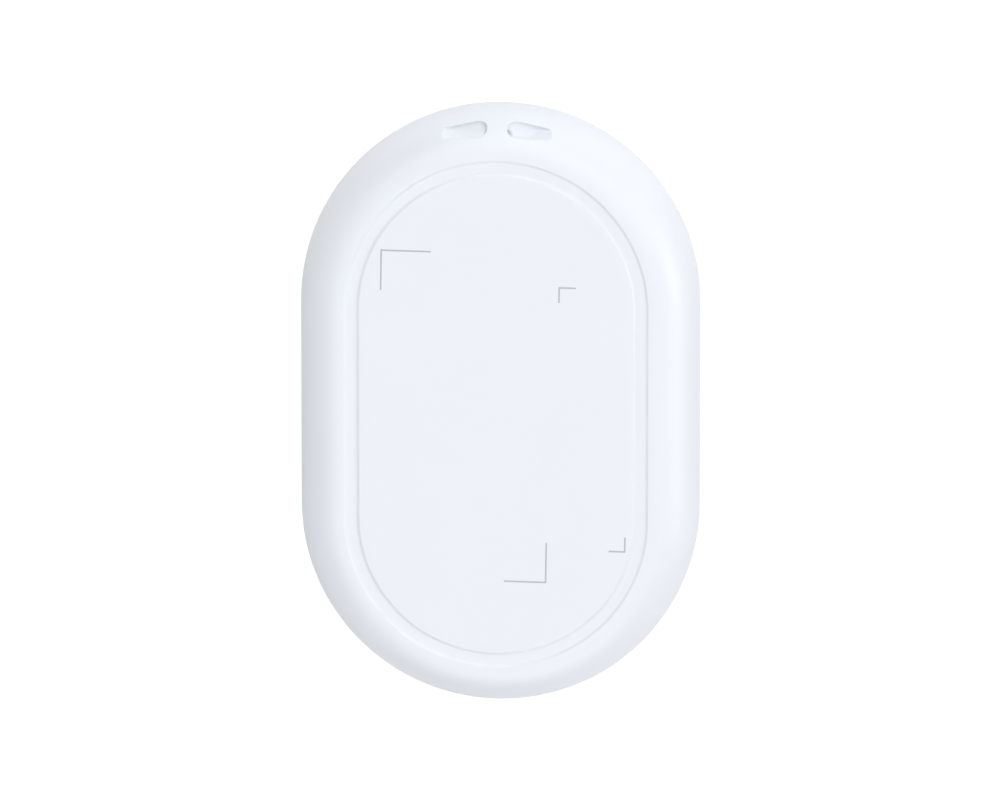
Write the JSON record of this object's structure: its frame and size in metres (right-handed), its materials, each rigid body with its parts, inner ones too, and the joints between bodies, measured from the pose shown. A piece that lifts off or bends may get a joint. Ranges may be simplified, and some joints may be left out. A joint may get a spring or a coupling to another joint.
{
  "type": "bluetooth tracker tag",
  "caption": "Pill-shaped white key-finder tag with a press face, a strap bridge in the rim and a coin-turn battery door over a coin cell and circuit board.",
  "frame": {"origin": "centre of the rear plane that the tag lies on, which is the bottom centre of its box", "axes": "+Z from the rear to the front face, +Y along the length to the strap end, +X across the width"},
  "size_m": [0.031, 0.047, 0.0098],
  "materials": {
    "case_plastic": "satin moulded white polycarbonate and ABS",
    "face_plastic": "satin moulded white polycarbonate and ABS",
    "door_plastic": "satin moulded white polycarbonate and ABS",
    "print_ink": "thin matt light grey pad-printed ink",
    "seal_silicone": "soft grey moulded silicone",
    "pad_foam": "fine closed-cell foam",
    "cell_steel": "nickel-plated pressed steel",
    "screw_steel": "zinc-plated cold-headed steel",
    "contact_gold": "gold-flashed phosphor bronze",
    "board_laminate": "green solder mask over glass epoxy",
    "black_plastic": "matt moulded black nylon",
    "chip_epoxy": "matt moulded black epoxy",
    "part_ceramic": "fine off-white ceramic",
    "capacitor_ceramic": "tan ceramic with tinned ends",
    "piezo_brass": "rolled brass sheet",
    "adhesive_film": "pale double-sided adhesive film"
  },
  "bodies": {
    "housing": {"upper_shell": "case_plastic", "face_gasket": "seal_silicone", "lower_shell": "case_plastic", "case_seal": "seal_silicone", "coin_cell_can": "cell_steel", "coin_cell_gasket": "black_plastic", "coin_cell_cap": "cell_steel", "positive_contact": "contact_gold", "negative_contact": "contact_gold", "circuit_board": "board_laminate", "board_screws": "screw_steel", "inner_frame": "black_plastic", "test_pads": "contact_gold", "radio_chip": "chip_epoxy", "crystals": "part_ceramic", "chip_antenna": "part_ceramic", "power_inductor": "chip_epoxy", "motion_sensor": "chip_epoxy", "sounder_driver": "chip_epoxy", "chip_capacitors": "capacitor_ceramic", "switch_base": "black_plastic", "switch_terminals": "contact_gold", "switch_cover": "cell_steel", "switch_dome": "cell_steel", "piezo_plate": "piezo_brass", "piezo_ceramic": "part_ceramic", "piezo_adhesive": "adhesive_film", "piezo_contacts": "contact_gold"},
    "face": {"press_face": "face_plastic", "corner_marks": "print_ink"},
    "plunger": {"switch_plunger": "black_plastic"},
    "door": {"battery_door": "door_plastic", "door_seal": "seal_silicone", "battery_pad": "pad_foam"}
  },
  "joints": [
    {"name": "face_press", "type": "slide", "parent": "housing", "child": "face", "axis": [0, 0, -1], "range_m": [0, 0.00025], "stiffness_N_per_m": 6000, "springref_m": -0.0001, "deforming": ["face_gasket", "switch_dome"]},
    {"name": "plunger_press", "type": "slide", "parent": "housing", "child": "plunger", "axis": [0, 0, -1], "range_m": [0, 0.00025]},
    {"name": "door_turn", "type": "hinge", "parent": "housing", "child": "door", "pos_m": [0, 0, 0], "axis": [0, 0, -1], "range_deg": [0, 30]}
  ],
  "couplings": [
    {"joint": "plunger_press", "follows": "face_press", "ratio": 1}
  ]
}
